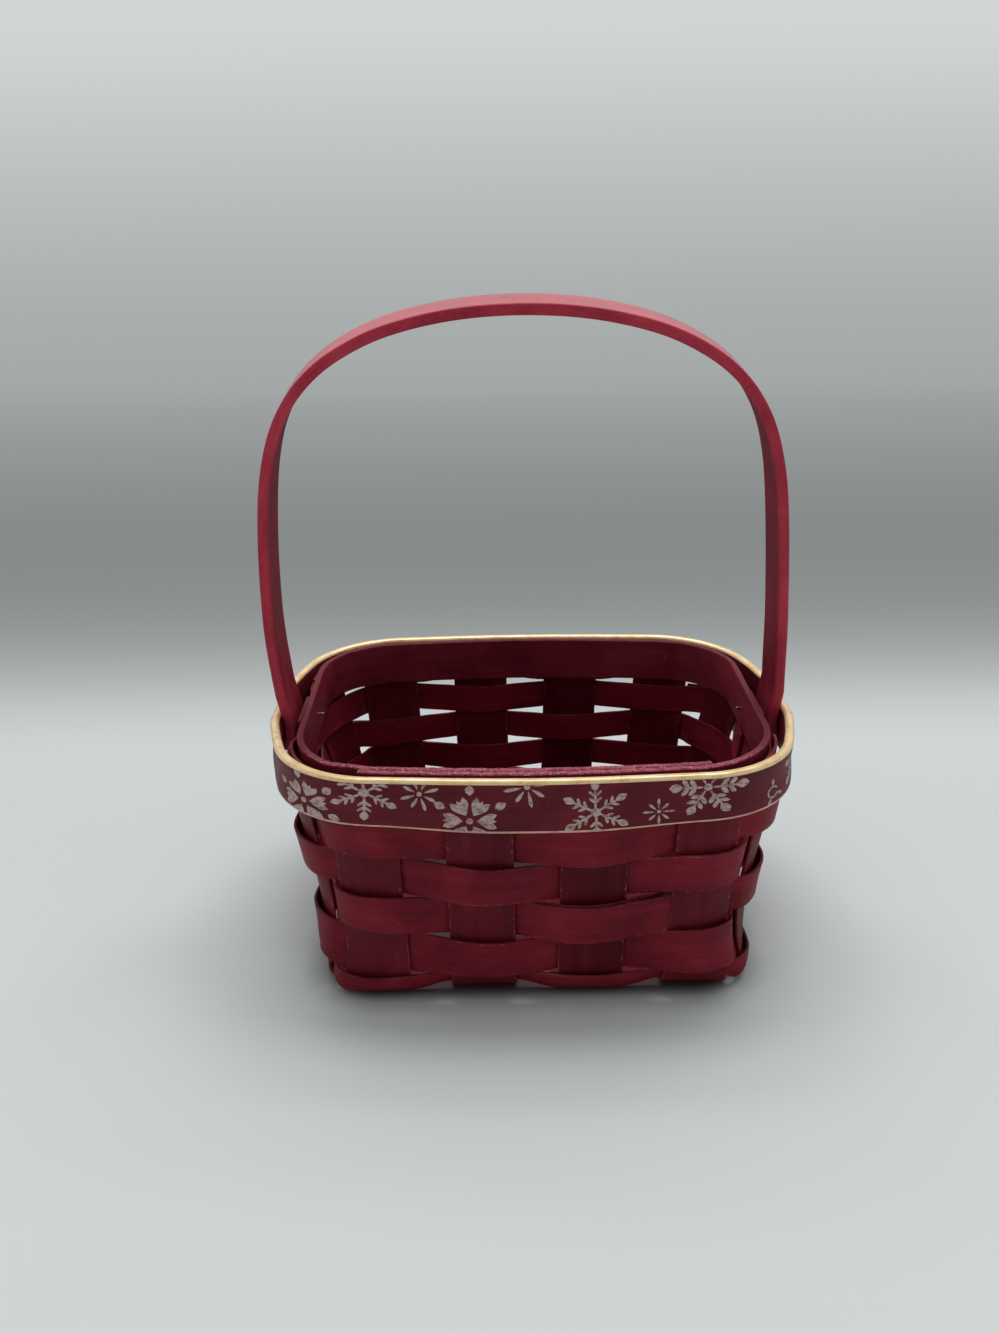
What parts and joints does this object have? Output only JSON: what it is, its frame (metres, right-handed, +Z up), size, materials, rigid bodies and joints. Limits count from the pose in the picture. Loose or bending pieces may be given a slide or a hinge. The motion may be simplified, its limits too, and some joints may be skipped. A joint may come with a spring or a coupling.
{
  "type": "splint basket",
  "caption": "Small rectangular woven splint basket with a flat rim band inside and outside and a fixed bent wooden handle over the short sides.",
  "frame": {"origin": "middle of the footprint, on the surface that the basket stands on", "axes": "+Z up, +X along the long sides, -Y towards the front, the long side seen in the picture"},
  "size_m": [0.1578, 0.1121, 0.1902],
  "materials": {
    "stake_splint": "crimson stain, satin",
    "weaver_splint": "crimson stain, satin",
    "inner_band_wood": "crimson stain, semi-gloss, raw upper edge",
    "outer_band_wood": "crimson stain, satin, gold-rubbed edges, pale snowflake print",
    "handle_wood": "crimson stain, semi-gloss, gold-rubbed edges",
    "tack_steel": "plain"
  },
  "bodies": {
    "root": {"front_to_back_stake_1": "stake_splint", "front_to_back_stake_2": "stake_splint", "front_to_back_stake_3": "stake_splint", "front_to_back_stake_4": "stake_splint", "side_to_side_stake_1": "stake_splint", "side_to_side_stake_2": "stake_splint", "side_to_side_stake_3": "stake_splint", "weaver_1": "weaver_splint", "weaver_2": "weaver_splint", "weaver_3": "weaver_splint", "weaver_4": "weaver_splint", "weaver_5": "weaver_splint", "weaver_6": "weaver_splint", "inner_rim_band": "inner_band_wood", "outer_rim_band": "outer_band_wood", "handle": "handle_wood", "tack_1": "tack_steel", "tack_2": "tack_steel", "tack_3": "tack_steel", "tack_4": "tack_steel"}
  },
  "joints": []
}
